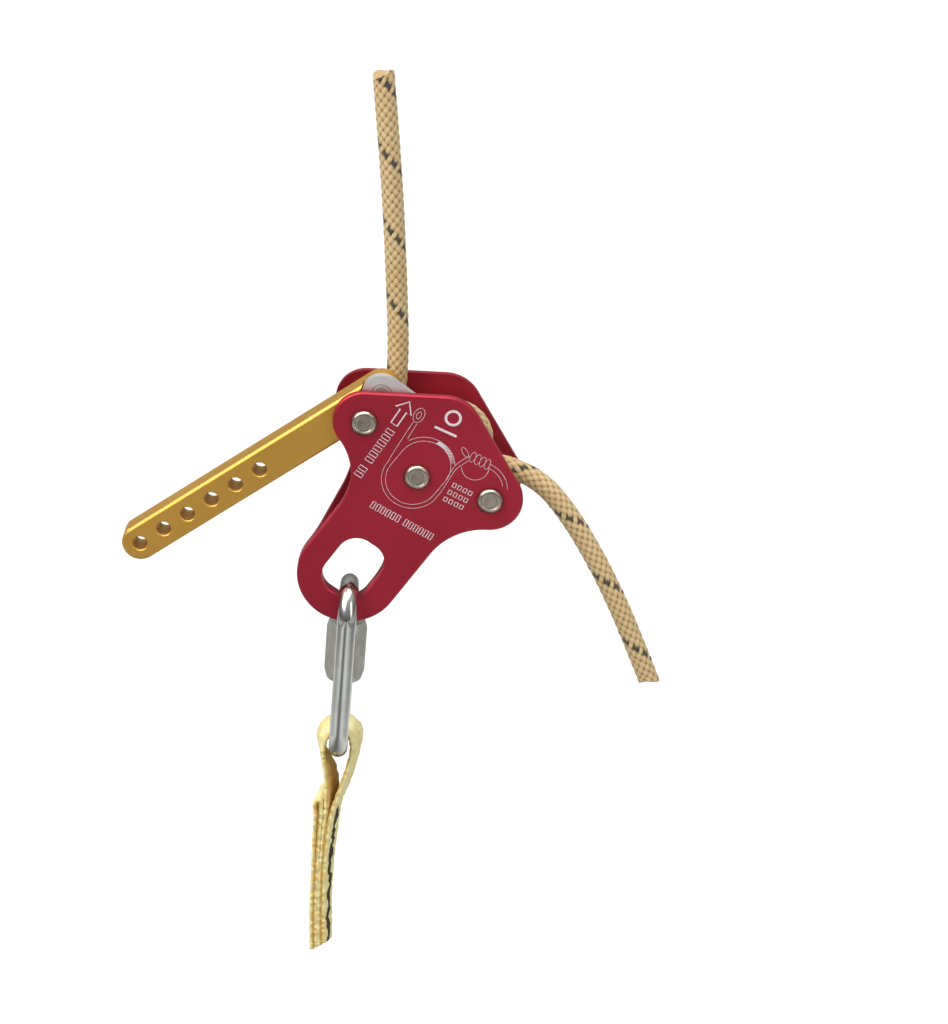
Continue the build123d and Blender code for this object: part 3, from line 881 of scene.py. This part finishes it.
def draw_grip(bm):
    """Four fingers closed round the rope, as plain ovals, with the rope's end curving away."""
    for number in range(FINGERS):
        centre = (FINGER_AT[0] + FINGER_STEP[0] * number, FINGER_AT[1] + FINGER_STEP[1] * number)
        ribbon(bm, ellipse(centre, *FINGER_RADII, FINGER_TILT), THIN, closed=True)
    ribbon(bm, ellipse(THUMB_AT, *THUMB_RADII, THUMB_TILT), THIN, closed=True)
    ribbon(bm, ellipse(PALM_AT, PALM_R, PALM_R, 0, 180, 360), THIN)
    for radius, start, end in ROPE_END_ARCS:
        ribbon(bm, arc(ROPE_END_AT, radius, start, end, 24), THIN)


def draw_arrow(bm):
    """Outlined block arrow that points along the stem, up towards the anchor."""
    along = Vector(ARROW_DIRECTION)
    side = Vector((ARROW_DIRECTION[1], -ARROW_DIRECTION[0]))
    tip = Vector(ARROW_TIP)
    ribbon(bm, [tuple(tip + along * a + side * b) for a, b in ARROW_SHAPE], THICK, closed=True)


def draw_boxes(bm):
    """Rows of plain empty boxes where a maker would print words."""
    for first, direction, groups, pitch, height, width in BOX_ROWS:
        along = Vector(direction).normalized()
        up = Vector((-along[1], along[0]))
        centre = Vector(first)
        for count in groups:
            for _ in range(count):
                corners = [centre + along * width / 2 * a + up * height / 2 * b
                           for a, b in ((-1, -1), (1, -1), (1, 1), (-1, 1))]
                ribbon(bm, [tuple(corner) for corner in corners], BOX_LINE, closed=True)
                centre = centre + along * pitch
            centre = centre + along * pitch * BOX_GAP


def draw_badge(bm):
    """A plain ring and bar where a maker would print a badge."""
    ribbon(bm, arc(BADGE, BADGE_R, 0, 345, 32), BADGE_LINE, closed=True)
    ribbon(bm, list(BADGE_BAR), BADGE_LINE)


def make_markings():
    bm = bmesh.new()
    for draw in (draw_rope_path, draw_grip, draw_arrow, draw_boxes, draw_badge):
        draw(bm)
    mesh = bpy.data.meshes.new("front_marking")
    bmesh.ops.recalc_face_normals(bm, faces=bm.faces)
    bm.to_mesh(mesh)
    bm.free()
    piece = new_piece("front_marking", mesh, "frame", ink())
    solid = piece.modifiers.new("thickness", "SOLIDIFY")
    solid.thickness = INK_HIGH
    solid.offset = 0


# ---------------------------------------------------------------- stage

def white_to_camera(tree, otherwise):
    """A strength of 1 where the camera looks straight at it, and another for all other light."""
    seen = node(tree, "LightPath").outputs["Is Camera Ray"]
    return mapped(tree, seen, source=(0.0, 1.0), target=(otherwise, 1.0))


def make_floor():
    floor_z = cad_low[2] - FLOOR_DROP
    corners = [(x * FLOOR_HALF, y * FLOOR_HALF, floor_z)
               for x, y in ((-1, -1), (1, -1), (1, 1), (-1, 1))]
    mesh = mesh_from("floor", corners, [(0, 1, 2, 3)], smooth=False)
    material, tree, bsdf = shader("floor")
    bsdf.inputs["Base Color"].default_value = FLOOR_GREY
    bsdf.inputs["Roughness"].default_value = 0.9
    bsdf.inputs["Emission Color"].default_value = WHITE
    bands = node(tree, "TexWave", {"Vector": place(tree), "Scale": 0.30, "Distortion": 0.6,
                                   "Phase Offset": 1.1}).outputs["Fac"]
    glow = mapped(tree, bands, source=(0.0, 1.0), target=(FLOOR_DARK, FLOOR_LIGHT))
    tree.links.new(white_to_camera(tree, glow), bsdf.inputs["Emission Strength"])
    mesh.materials.append(material)
    floor = bpy.data.objects.new("floor", mesh)
    bpy.context.scene.collection.objects.link(floor)


def make_room():
    world = bpy.data.worlds.new("studio")
    world.use_nodes = True
    tree = world.node_tree
    background = tree.nodes["Background"]
    background.inputs["Color"].default_value = WHITE
    direction = node(tree, "SeparateXYZ", {"Vector": node(tree, "TexCoord").outputs["Generated"]})
    glow = mapped(tree, direction.outputs["Z"], source=(-0.1, 0.8), target=(ROOM_LOW, ROOM_HIGH))
    tree.links.new(white_to_camera(tree, glow), background.inputs["Strength"])
    bpy.context.scene.world = world
    bpy.context.scene.view_settings.view_transform = "Standard"


def aim(thing, at, to):
    """Puts a lamp or a camera at one place, looking at another."""
    thing.location = at
    thing.rotation_euler = (Vector(to) - Vector(at)).to_track_quat("-Z", "Y").to_euler()
    bpy.context.scene.collection.objects.link(thing)


def make_lights():
    for name, at, to, size, power in LAMPS:
        data = bpy.data.lights.new(name, "AREA")
        data.shape = "RECTANGLE"
        data.size, data.size_y = size
        data.energy = power
        aim(bpy.data.objects.new(name, data), at, to)


def make_camera():
    data = bpy.data.cameras.new("camera")
    data.lens = LENS
    data.sensor_width = SENSOR
    camera = bpy.data.objects.new("camera", data)
    aim(camera, CAMERA_AT, CAMERA_TO)
    bpy.context.scene.camera = camera


make_camera()
make_floor()
make_room()
make_lights()
finish_plates()
finish_handle()
finish_cam()
finish_rivets()
finish_link()
make_rope()
make_sling()
make_markings()
